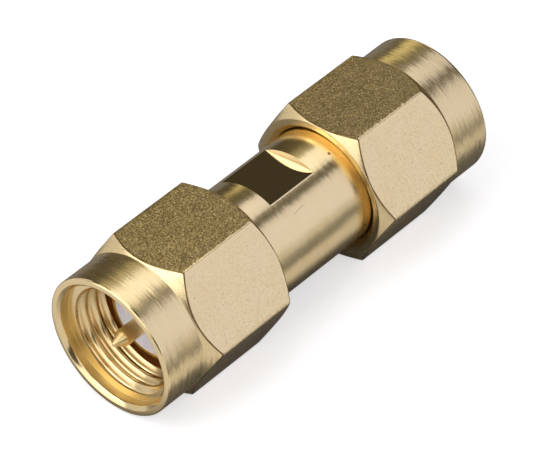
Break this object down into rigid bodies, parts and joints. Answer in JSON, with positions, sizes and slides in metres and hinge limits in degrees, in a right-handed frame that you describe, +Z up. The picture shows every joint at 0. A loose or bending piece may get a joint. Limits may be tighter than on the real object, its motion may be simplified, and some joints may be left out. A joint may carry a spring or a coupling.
{
  "type": "coaxial plug-to-plug adapter",
  "caption": "Gold-plated coaxial adapter with a plug at each end: turned barrel with spanner flats, captive hexagonal coupling nuts, recessed centre pins.",
  "frame": {"origin": "Below the middle of the adapter, on the surface that it lies on", "axes": "+X along the connector axis towards the right plug's mouth, +Z up from the flats that it rests on"},
  "size_m": [0.0238, 0.0092, 0.008],
  "materials": {
    "gold_body": "smooth turned gold plate",
    "gold_nut": "satin gold plate with fine turning lines on the collar and a fine grain on the flats",
    "gold_contact": "bright gold plate",
    "bronze": "plain spring bronze",
    "silicone": "matt",
    "ptfe": "waxy white"
  },
  "bodies": {
    "body": {"adapter_body": "gold_body", "left_gasket": "silicone", "right_gasket": "silicone", "left_insulator": "ptfe", "right_insulator": "ptfe", "centre_contact": "gold_contact"},
    "left_coupling": {"left_nut": "gold_nut", "left_snap_ring": "bronze"},
    "right_coupling": {"right_nut": "gold_nut", "right_snap_ring": "bronze"}
  },
  "joints": [
    {"name": "left_nut_spin", "type": "hinge", "parent": "body", "child": "left_coupling", "pos_m": [-0.00662, 0, 0.004], "axis": [-1, 0, 0], "continuous": true},
    {"name": "right_nut_spin", "type": "hinge", "parent": "body", "child": "right_coupling", "pos_m": [0.00662, 0, 0.004], "axis": [1, 0, 0], "continuous": true}
  ]
}
